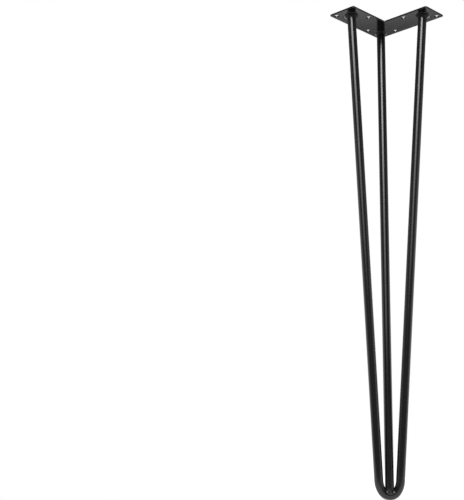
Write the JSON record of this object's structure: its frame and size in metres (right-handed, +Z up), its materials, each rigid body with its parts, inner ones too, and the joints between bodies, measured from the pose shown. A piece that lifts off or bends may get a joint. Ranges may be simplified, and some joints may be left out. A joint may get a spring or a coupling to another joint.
{
  "type": "hairpin table leg",
  "caption": "Tall hairpin table leg: round steel rods meet in a narrow bent foot and splay up to a flat L-shaped plate with screw holes, welded and coated black.",
  "frame": {"origin": "on the mounting plate's top face, straight above the middle of the foot", "axes": "+Z up through the plate's top face, towards the table top; +X and +Y along the plate's two arms, away from its outer corner"},
  "size_m": [0.12, 0.12, 0.7109],
  "materials": {
    "plate_coat": "semi-gloss black powder coat on steel plate",
    "rod_coat": "semi-gloss black powder coat on round steel bar",
    "weld_coat": "semi-gloss black powder coat over weld beads"
  },
  "bodies": {
    "root": {"mounting_plate": "plate_coat", "hairpin_rod": "rod_coat", "corner_rod": "rod_coat", "corner_weld": "weld_coat", "left_arm_weld": "weld_coat", "right_arm_weld": "weld_coat", "inner_foot_weld": "weld_coat", "outer_foot_weld": "weld_coat"}
  },
  "joints": []
}
